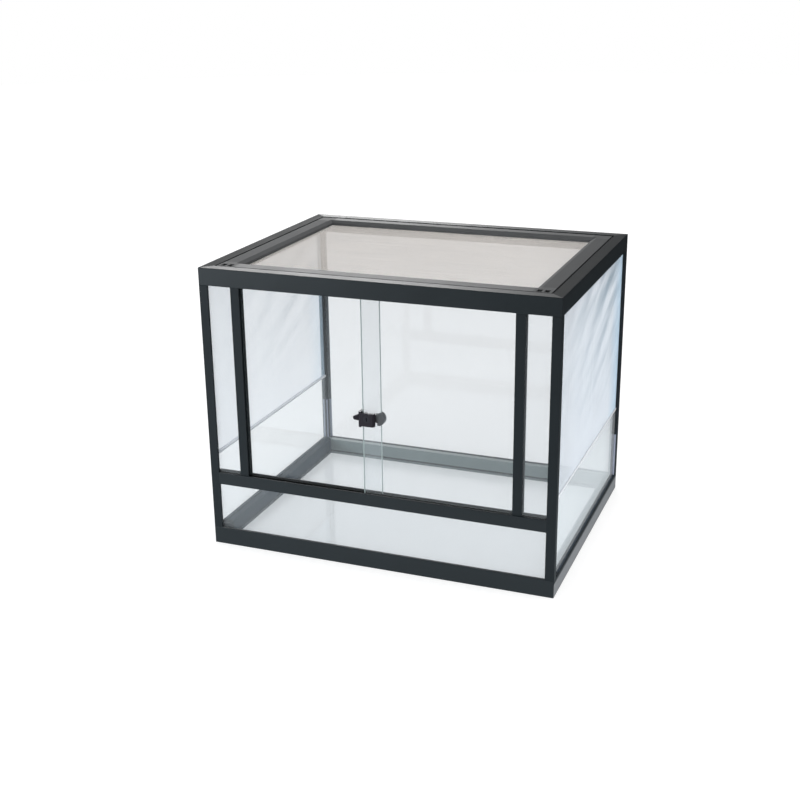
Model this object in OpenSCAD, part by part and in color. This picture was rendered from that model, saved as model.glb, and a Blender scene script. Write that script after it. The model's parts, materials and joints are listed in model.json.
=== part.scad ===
// Glass terrarium for reptiles: extruded frame, glass and screen walls,
// two overlapping sliding doors with a ratchet lock, and a hinged screen lid.
// +X is to the right as seen from the front, +Y to the back, +Z up.
// The origin is the middle of the footprint, at floor level.

/* [Overall size] */
// Width over the frame
overall_w = 600; // [500:5:900]
// Depth over the frame
overall_d = 465; // [380:5:600]
// Height over the frame
overall_h = 486; // [420:1:700]

/* [Frame] */
// Width of a corner post across the front or back
post_w = 15; // [15:0.5:22]
// Depth of a corner post along the side
post_d = 12; // [12:0.5:16]
// Height of the base rails
base_h = 30; // [26:1:45]
// Depth of the base rails, from the outer face inwards
base_depth = 20; // [19:1:30]
// Height of the top rails
top_h = 29; // [29:1:40]
// Width of the rim that the top rails show around the lid
rim_w = 20; // [18:1:28]
// Height of the lower edge of the middle rail
mid_rail_z = 111; // [70:1:170]
// Height of the middle rail
mid_rail_h = 21; // [21:1:40]
// Width of the uprights on either side of the doors
mullion_w = 15; // [14:0.5:24]
// Visible width of the narrow fixed pane beside each upright
side_light_w = 40.5; // [20:0.5:70]
// Wall of the hollow rails
wall = 1.8; // [1.2:0.1:2]
// Radius along the outer edges of the frame
edge_r = 1; // [0.5:0.25:1.5]

/* [Glass and grooves] */
// Thickness of every pane
pane_t = 4; // [3:0.5:5]
// Depth of the pane grooves in the base and top rails
groove_depth = 8; // [6:0.5:9]
// Depth of the pane groove under the middle rail
mid_groove = 6; // [4:0.5:6]
// Lip of a corner post behind the edge of a side pane
post_lip = 1.4; // [1:0.1:2]
// Distance from the outer face of the frame to the side and back grooves
pane_inset = 4.5; // [3:0.25:4.75]
// Gap around a pane in its groove
pane_gap = 0.3; // [0.2:0.05:0.5]
// Height of the joint between the lower side glass and the side screen
joint_z = 162; // [120:1:260]
// Height of the strip that covers that joint
joint_h = 3.5; // [3:0.25:8]

/* [Floor] */
// Depth of the grooves that carry the floor pane
floor_groove = 3; // [2:0.25:4]
// Height of the lower side of those grooves
floor_z = 3; // [2:0.25:5]

/* [Side skirting] */
// Thickness of the grey skirting strips on the side base rails
skirt_t = 1.5; // [1:0.1:2]
// Height of the upper edge of the skirting strips
skirt_top = 24; // [16:0.5:25]

/* [Sliding doors] */
// Distance from the front face back to the door tracks and uprights
front_recess = 2; // [1.5:0.25:4]
// Wall of the middle rail behind the tracks
front_back = 1.5; // [1.2:0.1:3]
// Thickness of the outer walls of the track strips
track_wall = 1.5; // [1.2:0.1:2]
// Thickness of the wall between the two door channels
track_mid = 2; // [2:0.1:3]
// Thickness of the floor of the track strips
track_floor = 1.2; // [0.8:0.1:2]
// Play between a door and each wall of its channel
door_play = 0.5; // [0.3:0.05:0.8]
// Height of the lower track strip
low_track_h = 7; // [6:0.5:8]
// Height of the upper track strip, deep enough to lift a door out
high_track_h = 14; // [12:0.5:14]
// Width by which the closed doors overlap
door_overlap = 29; // [24:0.5:60]
// How far to the left of the middle that overlap lies
door_shift = 5.5; // [0:0.5:10]
// How far a door's upper edge stands in the upper track
door_grip = 6; // [4:0.25:7]
// Depth of the door and pane channels in the uprights
mullion_channel = 5; // [4:0.25:5]

/* [Lid] */
// Thickness of the lid frame
lid_t = 10; // [9:0.5:12]
// Gap between the lid and the rim all round
lid_gap = 3; // [2:0.25:5]
// Width of a lid bar
lid_bar_w = 30; // [28:0.5:40]
// Width of the bevel along the inner edge of a lid bar
bevel_w = 7.5; // [3:0.5:10]
// Drop of that bevel
bevel_drop = 3.5; // [1:0.25:5]
// Width of the ledge under the lid
lid_ledge_w = 12; // [8:0.5:12]
// Thickness of that ledge
lid_ledge_t = 3; // [2:0.25:5]
// Radius of the two lid pivot pins
pin_r = 2.5; // [2:0.1:3]
// Length of a lid pivot pin
pin_l = 22; // [18:0.5:24]

/* [Screens] */
// Thickness of a screen wire
wire_t = 0.8; // [0.5:0.1:1]
// Spacing of the screen wires, coarser than woven cloth
wire_pitch = 20; // [12:1:40]
// Width of the rubber cord that holds the lid screen
spline_w = 3.4; // [2.5:0.1:4]

/* [Lid latches] */
// Distance from the lid's outer side edge to the middle of a latch
latch_at = 14.5; // [13.5:0.25:16]
// Width of a latch slider
latch_w = 21; // [18:0.5:22]
// Width of each of its two thumb grips
grip_w = 7.5; // [5:0.25:8]
// Length of a latch slider along its travel
latch_l = 6; // [5:0.25:7]
// Travel of a latch from open to locked
latch_travel = 6; // [5:0.25:6.5]

/* [Lock] */
// Height of the middle of the lock
lock_z = 261; // [240:1:300]
// Width of the lock housing on the face of the outer door
lock_w = 22.5; // [21:0.5:26]
// Height of the lock housing
lock_h = 22; // [20:0.5:30]
// Height of the collar that wraps the door edge
collar_h = 26; // [24:0.5:34]
// Thickness of that collar
collar_t = 4; // [3:0.25:6]
// How far the lock stands out in front of the frame
lock_out = 3; // [3:0.25:8]
// Thickness of the toothed strip
strip_t = 2; // [1.6:0.1:2.2]
// Height of the toothed strip
strip_h = 13; // [9:0.5:14]
// Length of strip that stands out past the collar
tail_l = 14; // [10:0.5:20]
// Height of the rounded head that hooks the inner door's edge
hook_h = 23; // [18:0.5:28]
// How far that head stands past the inner door's edge
hook_lip = 6.5; // [4:0.5:9]
// Thickness of the hook behind the inner door
hook_t = 2; // [1.5:0.1:2.2]
// Spacing of the ratchet teeth
tooth_pitch = 2.5; // [2:0.25:4]
// Depth of the ratchet teeth
tooth_depth = 0.7; // [0.4:0.1:0.9]
// Radius of the key plug
plug_r = 5.5; // [4:0.25:7]

/* [Hidden] */

// Fits
slip = 0.15;                     // gap between fixed parts that slide together
run = 0.05;                      // radial gap of a turning pin
rest_gap = 0.3;                  // gap under a part that rests on another
cut = 1;                         // how far a cutter runs past a face

// Outline
half_w = overall_w / 2;
half_d = overall_d / 2;
top_z = overall_h - top_h;
mid_top = mid_rail_z + mid_rail_h;

// Grooves and tracks, measured inwards from the outer face
groove_w = pane_t + 2 * pane_gap;
channel_w = pane_t + 2 * door_play;
track_w = 2 * track_wall + 2 * channel_w + track_mid;
front_depth = front_recess + track_w + front_back;
channel_a = front_recess + track_wall;
channel_b = channel_a + channel_w + track_mid;
door_a = channel_a + door_play;
door_b = channel_b + door_play;
groove_end = 0.5;                // gap at the bottom of a groove
leg_w = pane_inset + groove_w + post_lip;

// Corner keys and the pegs that enter the posts
key_l = 30;
key_peg = 4.6;
key_peg_at = 2.2;
key_peg_l = 15;
key_inner = base_depth - floor_groove - wall;
base_key_z = wall + rest_gap;
base_key_h = base_h - groove_depth - 2 * wall - 2 * rest_gap;
top_key_z = top_z + high_track_h + wall + rest_gap;
top_key_h = top_h - high_track_h - 2 * wall - 2 * rest_gap;
base_peg_h = base_h - base_key_z + key_peg_l;
top_peg_h = top_key_z + top_key_h - top_z + key_peg_l;
leg_d = key_peg_at + key_peg + 1.7;

// Fixed panes and side screens
glass_tint = "#cfe3e3";
pane_low = base_h - groove_depth + groove_end;
pane_high = top_z + groove_depth - groove_end;
pane_side = half_w - leg_w - groove_end;
side_len = overall_d - 2 * (leg_d + groove_end);
joint_web = 1;                   // web between glass and screen in the side joint
joint_lip = 0.8;                 // lips of the side joint over glass and screen
screen_at = pane_inset + rest_gap;
screen_low = joint_z + joint_web / 2 + pane_gap;
floor_edge = base_depth - floor_groove + groove_end;

// Middle rail and the uprights beside the doors
mid_len = overall_w - 2 * post_w;
mullion_out = half_w - post_w - side_light_w;
mullion_in = mullion_out - mullion_w;

// Doors
door_bottom = mid_top - low_track_h + track_floor + rest_gap;
door_top = top_z + door_grip;
door_reach = mullion_in + mullion_channel - 1;
edge_right = -door_overlap / 2 - door_shift;
edge_left = door_overlap / 2 - door_shift;

// Lid
lid_z = overall_h - lid_t;
lid_w = overall_w - 2 * (rim_w + lid_gap);
lid_d = overall_d - 2 * (rim_w + lid_gap);
lid_ledge_z = lid_z - rest_gap;
spline_at = lid_ledge_w - lid_gap + 1;
relief_at = spline_at + spline_w + 2 * rest_gap;
screen_gap = 0.2;                // gap between a screen and the bars over it
relief_h = 2 * (wire_t + screen_gap);
lid_core_at = 2;                 // hollow of a lid bar, from its outer edge
lid_core_w = spline_at - 2 * lid_core_at;
lid_core_h = lid_t - 2 * lid_core_at;
lid_len_x = lid_w - 2 * lid_bar_w;
lid_len_y = lid_d - 2 * lid_bar_w;
pivot_y = lid_d / 2 - lid_t / 2;
pivot_z = lid_z + lid_t / 2;

// Latches, measured from the lid's front edge
latch_floor = 2;
latch_tongue_h = 2.6;
latch_tongue_w = 10;
latch_base_h = 4;
grip_at = (latch_w - grip_w) / 2 - 0.8;
latch_pocket_v = 2;
tongue_tip_v = 0.2;
latch_pocket_l = latch_l + latch_travel + 2 * rest_gap + 0.4;
latch_rest_v = latch_pocket_v + latch_pocket_l - rest_gap - latch_l;
latch_x = lid_w / 2 - latch_at;

// Lock
strip_y = door_a + pane_t + (door_b - door_a - pane_t - strip_t) / 2;
hook_x = edge_left + rest_gap;   // inner face of the hook, at the door's edge
hook_back = door_b + pane_t + rest_gap;
hook_grip = 11;                  // how far the hook reaches behind the door
head_x = hook_x + hook_lip - hook_h / 2;
collar_x = edge_right - rest_gap - collar_t;
lock_end = collar_x + collar_t + lock_w;
tail_x = collar_x - tail_l;
plug_x = lock_end - lock_w * 0.57;
plug_up = 1;
plug_l = 5;
keyway_w = 1.2;
keyway_l = 3;

// ---------- helpers ----------

// Extrudes a section along X: section x runs to the back, section y runs up.
module along_x(len) {
    rotate([90, 0, 90]) linear_extrude(len, center = true) children();
}

// Extrudes a section along Y: section x runs to the right, section y runs up.
module along_y(len) {
    rotate([90, 0, 0]) linear_extrude(len, center = true) children();
}

// Draws its children on the left and on the right.
module both_sides() {
    children();
    mirror([1, 0, 0]) children();
}

// Draws its children at the four corners, mirrored from the front left.
module four_corners() {
    both_sides() {
        children();
        mirror([0, 1, 0]) children();
    }
}

// The waste outside a rounded convex corner whose material lies in +x, +y.
module corner_waste(r) {
    difference() {
        translate([-cut, -cut]) square(r + cut);
        translate([r, r]) circle(r, $fn = 48);
    }
}

// Rounds both outer edges of a rail section of the given height.
module outer_edges(h) {
    corner_waste(edge_r);
    translate([0, h]) mirror([0, 1]) corner_waste(edge_r);
}

// Plan of the frame, with its four upright edges rounded.
module frame_plan() {
    difference() {
        translate([-half_w, -half_d]) square([overall_w, overall_d]);
        for (sx = [-1, 1], sy = [-1, 1])
            scale([sx, sy]) translate([-half_w, -half_d]) corner_waste(edge_r);
    }
}

// Keeps the part of a front rail that lies before its two mitres.
module mitre_front() {
    intersection() {
        children();
        translate([0, 0, -cut]) linear_extrude(overall_h + 2 * cut) intersection() {
            frame_plan();
            polygon([[-half_w, -half_d], [half_w, -half_d], [0, half_w - half_d]]);
        }
    }
}

// Keeps the part of a left rail that lies outside its two mitres.
module mitre_left() {
    intersection() {
        children();
        translate([0, 0, -cut]) linear_extrude(overall_h + 2 * cut) intersection() {
            frame_plan();
            polygon([[-half_w, -half_d], [half_d - half_w, 0], [-half_w, half_d]]);
        }
    }
}

// A square column at each corner, where the pegs of the keys pass.
module peg_columns(z0, z1, gap) {
    four_corners()
        translate([key_peg_at - gap - half_w, key_peg_at - gap - half_d, z0])
            cube([key_peg + 2 * gap, key_peg + 2 * gap, z1 - z0]);
}

// ---------- base ----------

// Section of a base rail: pane groove above, floor groove inside, and hollow.
module base_section(groove_at, w, skirted) {
    difference() {
        square([base_depth, base_h]);
        outer_edges(base_h);
        translate([groove_at, base_h - groove_depth]) square([w, groove_depth + cut]);
        translate([base_depth - floor_groove, floor_z]) square([floor_groove + cut, groove_w]);
        translate([wall + skirt_t, wall])
            square([key_inner - wall - skirt_t, base_h - groove_depth - 2 * wall]);
        if (skirted)
            translate([-cut, edge_r]) square([skirt_t + cut, skirt_top - edge_r]);
    }
}

module base_cross_rail(groove_at, w) {
    mitre_front() difference() {
        translate([0, -half_d, 0]) along_x(overall_w) base_section(groove_at, w, false);
        peg_columns(wall, base_h + cut, slip);
    }
}

module base_side_rail() {
    mitre_left() difference() {
        translate([-half_w, 0, 0]) along_y(overall_d)
            base_section(pane_inset, groove_w, true);
        peg_columns(wall, base_h + cut, slip);
        front_slot(channel_a, channel_w, base_h - groove_depth, groove_depth + cut);
    }
}

// Runs a groove of the front rail on into the end of a side rail.
module front_slot(at, w, z, h) {
    translate([leg_w - half_w, at - half_d, z]) cube([base_depth, w, h]);
}

module base_front_rail() {
    color("#2f3537") base_cross_rail(channel_a, base_depth);
}

module base_back_rail() {
    color("#2f3537") mirror([0, 1, 0]) base_cross_rail(pane_inset, groove_w);
}

module base_left_rail() {
    color("#2f3537") base_side_rail();
}

module base_right_rail() {
    color("#2f3537") mirror([1, 0, 0]) base_side_rail();
}

// A corner key: two prongs in the rails and a peg that enters the post.
module corner_key(inner, prong_w, h, peg_z, peg_h) {
    translate([inner, inner, 0]) cube([key_l - inner, prong_w, h]);
    translate([inner, inner, 0]) cube([prong_w, key_l - inner, h]);
    translate([key_peg_at, key_peg_at, peg_z]) cube([key_peg, key_peg, peg_h]);
}

module base_corner_keys() {
    color("#15181a") four_corners()
        translate([-half_w, -half_d, base_key_z])
            corner_key(wall + skirt_t + rest_gap, key_inner - wall - skirt_t - 2 * rest_gap,
                       base_key_h, 0, base_peg_h);
}

module skirt() {
    end = max(edge_r, skirt_t);
    color("#64676a") translate([-half_w, end - half_d, edge_r])
        cube([skirt_t, overall_d - 2 * end, skirt_top - edge_r]);
}

module base_left_skirt() skirt();

module base_right_skirt() mirror([1, 0, 0]) skirt();

// ---------- posts ----------

// Plan of a front left post: a flange before the front or back pane, which is cross_at
// from the outer face, and a leg with the groove of the side pane.
module post_section(cross_at) {
    difference() {
        square([post_w, post_d]);
        corner_waste(edge_r);
        translate([leg_w, cross_at]) square([post_w, post_d]);
        translate([pane_inset, leg_d]) square([groove_w, post_d]);
    }
}

module post(cross_at) {
    color("#343a3c") difference() {
        translate([-half_w, -half_d, base_h]) linear_extrude(top_z - base_h)
            post_section(cross_at);
        peg_columns(base_h - cut, base_h + key_peg_l + rest_gap, slip);
        peg_columns(top_z - key_peg_l - rest_gap, top_z + cut, slip);
    }
}

module post_front_left() post(channel_a);

module post_front_right() mirror([1, 0, 0]) post(channel_a);

module post_back_left() mirror([0, 1, 0]) post(pane_inset);

module post_back_right() mirror([1, 0, 0]) mirror([0, 1, 0]) post(pane_inset);

// ---------- front ----------

module mid_rail() {
    color("#363c3c") translate([0, -half_d, mid_rail_z]) along_x(mid_len)
        difference() {
            square([front_depth, mid_rail_h]);
            outer_edges(mid_rail_h);
            translate([channel_a, -cut]) square([channel_w, mid_groove + cut]);
            translate([front_recess, mid_rail_h - low_track_h])
                square([track_w, low_track_h + cut]);
            translate([wall, mid_groove + wall])
                square([front_depth - 2 * wall,
                        mid_rail_h - low_track_h - mid_groove - 2 * wall]);
        }
}

// Section of a track strip of height h, open side up.
module track_section(h) {
    difference() {
        translate([front_recess + slip, 0]) square([track_w - 2 * slip, h]);
        for (at = [channel_a, channel_b])
            translate([at, track_floor]) square([channel_w, h]);
    }
}

module lower_track() {
    color("#16191a") translate([0, -half_d, mid_top - low_track_h])
        along_x(mid_len) track_section(low_track_h);
}

module upper_track() {
    color("#16191a") translate([0, -half_d, top_z + high_track_h])
        along_x(mid_len) mirror([0, 1]) track_section(high_track_h);
}

module mullion() {
    color("#2a3032") translate([-mullion_out, front_recess - half_d, mid_top])
        linear_extrude(top_z - mid_top) difference() {
            square([mullion_w, track_w]);
            translate([-cut, channel_a - front_recess])
                square([mullion_channel + cut, channel_w]);
            for (at = [channel_a, channel_b])
                translate([mullion_w - mullion_channel, at - front_recess])
                    square([mullion_channel + cut, channel_w]);
        }
}

module mullion_left() mullion();

module mullion_right() mirror([1, 0, 0]) mullion();

// ---------- glass ----------

module floor_pane() {
    color(glass_tint, 0.35)
        translate([floor_edge - half_w, floor_edge - half_d, floor_z + pane_gap])
            cube([overall_w - 2 * floor_edge, overall_d - 2 * floor_edge, pane_t]);
}

module back_pane() {
    color(glass_tint, 0.35)
        translate([-pane_side, half_d - pane_inset - pane_gap - pane_t, pane_low])
            cube([2 * pane_side, pane_t, pane_high - pane_low]);
}

module front_low_pane() {
    color(glass_tint, 0.35) translate([-pane_side, door_a - half_d, pane_low])
        cube([2 * pane_side, pane_t, mid_rail_z + mid_groove - groove_end - pane_low]);
}

module narrow_pane() {
    inner = mullion_out - mullion_channel + groove_end;
    color(glass_tint, 0.35) translate([-pane_side, door_a - half_d, door_bottom])
        cube([pane_side - inner, pane_t, door_top - door_bottom]);
}

module front_left_pane() narrow_pane();

module front_right_pane() mirror([1, 0, 0]) narrow_pane();

module side_pane() {
    color(glass_tint, 0.35)
        translate([pane_inset + pane_gap - half_w, -side_len / 2, pane_low])
            cube([pane_t, side_len, joint_z - joint_web / 2 - pane_gap - pane_low]);
}

module side_left_pane() side_pane();

module side_right_pane() mirror([1, 0, 0]) side_pane();

// ---------- side screens ----------

// Strip between side glass and screen, slotted below for one, above for the other.
module side_joint() {
    strip_in = pane_t + 2 * joint_lip + 2 * slip;
    color("#55595c") translate([-half_w, 0, joint_z]) along_y(overall_d - 2 * post_d)
        difference() {
            translate([pane_inset + pane_gap - slip - joint_lip, -joint_h / 2])
                square([strip_in, joint_h]);
            translate([pane_inset + pane_gap - slip, -joint_h])
                square([pane_t + 2 * slip, joint_h - joint_web / 2]);
            translate([screen_at - slip, joint_web / 2])
                square([2 * wire_t + 2 * slip, joint_h]);
        }
}

module side_left_joint() side_joint();

module side_right_joint() mirror([1, 0, 0]) side_joint();

// Two crossed layers of wires that fill a field of a by b.
module wire_screen(a, b) {
    count_a = floor((a - wire_t) / wire_pitch / 2);
    count_b = floor((b - wire_t) / wire_pitch / 2);
    for (i = [-count_a:count_a])
        translate([i * wire_pitch - wire_t / 2, -b / 2, 0]) cube([wire_t, b, wire_t]);
    for (j = [-count_b:count_b])
        translate([-a / 2, j * wire_pitch - wire_t / 2, wire_t]) cube([a, wire_t, wire_t]);
}

module side_screen() {
    color("#cfd6e0")
        translate([screen_at - half_w, 0, (screen_low + pane_high) / 2])
            rotate([90, 0, 90]) wire_screen(side_len, pane_high - screen_low);
}

module side_left_screen() side_screen();

module side_right_screen() mirror([1, 0, 0]) side_screen();

// ---------- top frame ----------

// Section of a top rail: rim, lid ledge and hollow; depth is that of its lower part.
module top_section(depth, slot_at, slot_w, slot_h) {
    difference() {
        union() {
            square([rim_w, top_h]);
            square([depth, lid_ledge_z - top_z]);
            translate([0, lid_ledge_z - top_z - lid_ledge_t])
                square([rim_w + lid_ledge_w, lid_ledge_t]);
        }
        outer_edges(top_h);
        translate([slot_at, -cut]) square([slot_w, slot_h + cut]);
        translate([wall, slot_h + wall]) square([rim_w - 2 * wall, top_h - slot_h - 2 * wall]);
    }
}

// Seats in the front rim for the tongues of the two latches.
module latch_seats() {
    w = latch_tongue_w + 2 * rest_gap;
    reach = latch_travel - tongue_tip_v - lid_gap + rest_gap;
    both_sides()
        translate([latch_x - w / 2, rim_w - reach - half_d, lid_z + latch_floor])
            cube([w, reach + cut, latch_tongue_h + rest_gap]);
}

module top_front_rail() {
    color("#343a3c") mitre_front() difference() {
        translate([0, -half_d, top_z]) along_x(overall_w)
            top_section(front_depth, front_recess, track_w, high_track_h);
        peg_columns(top_z - cut, top_key_z, slip);
        latch_seats();
    }
}

module top_back_rail() {
    color("#343a3c") mirror([0, 1, 0]) mitre_front() difference() {
        translate([0, -half_d, top_z]) along_x(overall_w)
            top_section(rim_w, pane_inset, groove_w, groove_depth);
        peg_columns(top_z - cut, top_key_z, slip);
    }
}

// Two cylinders in line across the frame, where the lid pivot pins lie.
module pivots(r, l) {
    both_sides()
        translate([rim_w + (lid_gap - l) / 2 - half_w, pivot_y, pivot_z]) rotate([0, 90, 0])
            cylinder(r = r, h = l, $fn = 48);
}

module pivot_bores() pivots(pin_r + run, pin_l + 2 * rest_gap);

module top_side_rail() {
    mitre_left() difference() {
        translate([-half_w, 0, top_z]) along_y(overall_d)
            top_section(rim_w, pane_inset, groove_w, groove_depth);
        peg_columns(top_z - cut, top_key_z, slip);
        front_slot(front_recess, track_w, top_z - cut, high_track_h + cut);
        pivot_bores();
    }
}

module top_left_rail() {
    color("#343a3c") top_side_rail();
}

module top_right_rail() {
    color("#343a3c") mirror([1, 0, 0]) top_side_rail();
}

module top_corner_keys() {
    color("#15181a") difference() {
        four_corners()
            translate([-half_w, -half_d, top_key_z])
                corner_key(wall + rest_gap, rim_w - 2 * wall - 2 * rest_gap, top_key_h,
                           top_key_h - top_peg_h, top_peg_h);
        pivot_bores();
    }
}

// ---------- lid ----------

// Section of a lid bar; x runs inwards from the lid's outer edge.
module lid_outline() {
    polygon([[0, 0], [lid_bar_w, 0], [lid_bar_w, lid_t - bevel_drop],
             [lid_bar_w - bevel_w, lid_t], [0, lid_t]]);
}

module lid_section(corner, round_edge) {
    difference() {
        lid_outline();
        if (round_edge) {
            corner_waste(lid_t / 2);
            translate([0, lid_t]) mirror([0, 1]) corner_waste(lid_t / 2);
        } else {
            translate([0, lid_t]) mirror([0, 1]) corner_waste(edge_r / 2);
        }
        translate([relief_at, -cut]) square([lid_bar_w, relief_h + cut]);
        if (!corner) {
            translate([spline_at, -cut])
                square([relief_at - spline_at + cut, lid_t / 2 + cut]);
            translate([lid_core_at, lid_core_at]) square([lid_core_w, lid_core_h]);
        }
    }
}

module lid_front_bar() {
    color("#3a3f41") translate([0, -lid_d / 2, lid_z]) along_x(lid_len_x)
        lid_section(false, false);
}

module lid_back_bar() {
    color("#3a3f41") mirror([0, 1, 0]) translate([0, -lid_d / 2, lid_z])
        along_x(lid_len_x) lid_section(false, true);
}

module lid_side_bar() {
    color("#3a3f41") translate([-lid_w / 2, 0, lid_z]) along_y(lid_len_y)
        lid_section(false, false);
}

module lid_left_bar() lid_side_bar();

module lid_right_bar() mirror([1, 0, 0]) lid_side_bar();

// Moulded corner of the lid with a prong for each bar, at the front left.
module lid_corner(round_edge) {
    prong = 18;
    prong_w = lid_core_w - 2 * slip;
    prong_h = lid_core_h - 2 * slip;
    translate([-lid_w / 2, -lid_d / 2, lid_z]) {
        intersection() {
            union() {
                along_x(4 * lid_bar_w) lid_section(true, round_edge);
                along_y(4 * lid_bar_w) lid_section(true, false);
            }
            lid_corner_block(round_edge);
        }
        translate([lid_bar_w - cut, lid_core_at + slip, lid_core_at + slip])
            cube([prong + cut, prong_w, prong_h]);
        translate([lid_core_at + slip, lid_bar_w - cut, lid_core_at + slip])
            cube([prong_w, prong + cut, prong_h]);
    }
}

// The space of one corner block, with the same outer edge as the bar beside it.
module lid_corner_block(round_edge) {
    intersection() {
        cube([lid_bar_w, lid_bar_w, lid_t]);
        translate([lid_bar_w / 2, 0, 0]) along_x(2 * lid_bar_w) difference() {
            square([lid_bar_w, lid_t]);
            if (round_edge) {
                corner_waste(lid_t / 2);
                translate([0, lid_t]) mirror([0, 1]) corner_waste(lid_t / 2);
            }
        }
    }
}

// Pocket of a latch in the lid's front left corner.
module latch_pocket() {
    translate([-latch_x, -lid_d / 2, lid_z]) {
        translate([-latch_w / 2 - rest_gap, latch_pocket_v, latch_floor])
            cube([latch_w + 2 * rest_gap, latch_pocket_l, latch_base_h + 2 * rest_gap]);
        for (s = [-1, 1])
            translate([s * grip_at - grip_w / 2 - rest_gap, latch_pocket_v, latch_floor])
                cube([grip_w + 2 * rest_gap, latch_pocket_l, lid_t]);
        translate([-latch_tongue_w / 2 - rest_gap, -cut, latch_floor])
            cube([latch_tongue_w + 2 * rest_gap, latch_pocket_v + 2 * cut,
                  latch_tongue_h + 2 * rest_gap]);
    }
}

module lid_front_corners() {
    color("#33383a") both_sides() difference() {
        lid_corner(false);
        latch_pocket();
    }
}

module lid_back_corners() {
    color("#33383a") difference() {
        both_sides() mirror([0, 1, 0]) lid_corner(true);
        pivot_bores();
    }
}

module lid_pivot_pins() {
    color("#a9adb0") pivots(pin_r, pin_l);
}

module lid_screen() {
    inset = relief_at + rest_gap;
    color("#cdc8bd") translate([0, 0, lid_z + screen_gap])
        wire_screen(lid_w - 2 * inset, lid_d - 2 * inset);
}

module lid_spline() {
    at = spline_at + rest_gap + spline_w / 2;
    z = lid_z + rest_gap + spline_w / 2;
    color("#101213") {
        both_sides() translate([at - lid_w / 2, 0, z]) rotate([90, 0, 0])
            cylinder(d = spline_w, h = lid_len_y, center = true, $fn = 24);
        for (s = [-1, 1])
            translate([0, s * (lid_d / 2 - at), z]) rotate([0, 90, 0])
                cylinder(d = spline_w, h = lid_len_x, center = true, $fn = 24);
    }
}

// Slider with its two thumb grips and the tongue that enters the rim.
module latch() {
    color("#0c0e0f") translate([-latch_x, -lid_d / 2, lid_z + latch_floor + rest_gap]) {
        difference() {
            union() {
                translate([-latch_w / 2, latch_rest_v, 0])
                    cube([latch_w, latch_l, latch_base_h - rest_gap]);
                for (s = [-1, 1])
                    translate([s * grip_at - grip_w / 2, latch_rest_v, 0])
                        cube([grip_w, latch_l, latch_base_h + 2]);
                translate([-latch_tongue_w / 2, tongue_tip_v, 0])
                    cube([latch_tongue_w, latch_rest_v - tongue_tip_v + cut,
                          latch_tongue_h - rest_gap]);
            }
            translate([0, latch_rest_v + latch_l / 2, latch_base_h + 3]) rotate([0, 90, 0])
                cylinder(r = latch_l / 3, h = latch_w + cut, center = true, $fn = 32);
        }
    }
}

module lid_latch_left() latch();

module lid_latch_right() mirror([1, 0, 0]) latch();

// ---------- doors ----------

module door_left() {
    color(glass_tint, 0.35) translate([-door_reach, door_b - half_d, door_bottom])
        cube([door_reach + edge_left, pane_t, door_top - door_bottom]);
}

module door_right() {
    color(glass_tint, 0.35) translate([edge_right, door_a - half_d, door_bottom])
        cube([door_reach - edge_right, pane_t, door_top - door_bottom]);
}

// ---------- lock ----------

// Outline of the strip: a tapered tail and a rounded head, notched at its root.
module strip_outline() {
    tip_h = strip_h * 0.3;
    tail_taper = 2;
    root_x = lock_end + 1;
    notch = hook_h * 0.25;
    polygon([[tail_x + tail_taper, -strip_h * 0.45], [tail_x, -tip_h], [tail_x, 0],
             [collar_x - 1, strip_h / 2], [hook_x, strip_h / 2], [hook_x, -strip_h / 2],
             [collar_x - 1, -strip_h / 2]]);
    difference() {
        intersection() {
            translate([head_x, 0]) circle(d = hook_h, $fn = 64);
            translate([root_x, -hook_h]) square([hook_h, 2 * hook_h]);
        }
        polygon([[root_x - cut, hook_h / 2 - notch], [root_x, hook_h / 2 - notch],
                 [root_x + notch, hook_h / 2 + cut], [root_x - cut, hook_h / 2 + cut]]);
    }
}

module lock_strip() {
    teeth = floor((hook_x - hook_grip - tail_x - 4) / tooth_pitch);
    color("#141617") translate([0, strip_y - half_d, lock_z]) {
        difference() {
            translate([0, strip_t, 0]) rotate([90, 0, 0]) linear_extrude(strip_t)
                strip_outline();
            for (i = [0:teeth - 1])
                translate([tail_x + 3 + i * tooth_pitch, 0, -strip_h])
                    linear_extrude(2 * strip_h)
                        polygon([[0, -cut], [0, tooth_depth], [tooth_pitch * 0.7, -0.01],
                                 [tooth_pitch * 0.7, -cut]]);
        }
        hook_reach = hook_back + hook_t - strip_y;
        intersection() {
            translate([0, hook_reach, 0]) rotate([90, 0, 0]) linear_extrude(hook_reach)
                strip_outline();
            union() {
                translate([hook_x, 0, -hook_h / 2]) cube([hook_h, hook_reach, hook_h]);
                translate([hook_x - hook_grip, hook_reach - hook_t, -hook_h / 2])
                    cube([hook_h, hook_t, hook_h]);
            }
        }
    }
}

// Housing: a chamfered block on the outer door with a collar round its free edge.
module lock_housing() {
    depth = door_a - rest_gap + lock_out;
    collar_depth = strip_y + strip_t + lock_out;
    color("#17191b") translate([0, -lock_out - half_d, lock_z]) difference() {
        union() {
            translate([0, 0, -lock_h / 2]) linear_extrude(lock_h)
                polygon([[collar_x, 2], [collar_x + 2, 0], [lock_end - 3, 0],
                         [lock_end, 3], [lock_end, depth], [collar_x, depth]]);
            translate([collar_x, 1, -collar_h / 2]) cube([collar_t, collar_depth - 1, collar_h]);
        }
        translate([collar_x - cut, strip_y + lock_out - rest_gap, -strip_h / 2 - rest_gap])
            cube([collar_t + 2 * cut, strip_t + 2 * rest_gap, strip_h + 2 * rest_gap]);
        translate([plug_x, -cut, plug_up]) rotate([-90, 0, 0])
            cylinder(r = plug_r + run, h = plug_l + rest_gap + cut, $fn = 48);
    }
}

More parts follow.
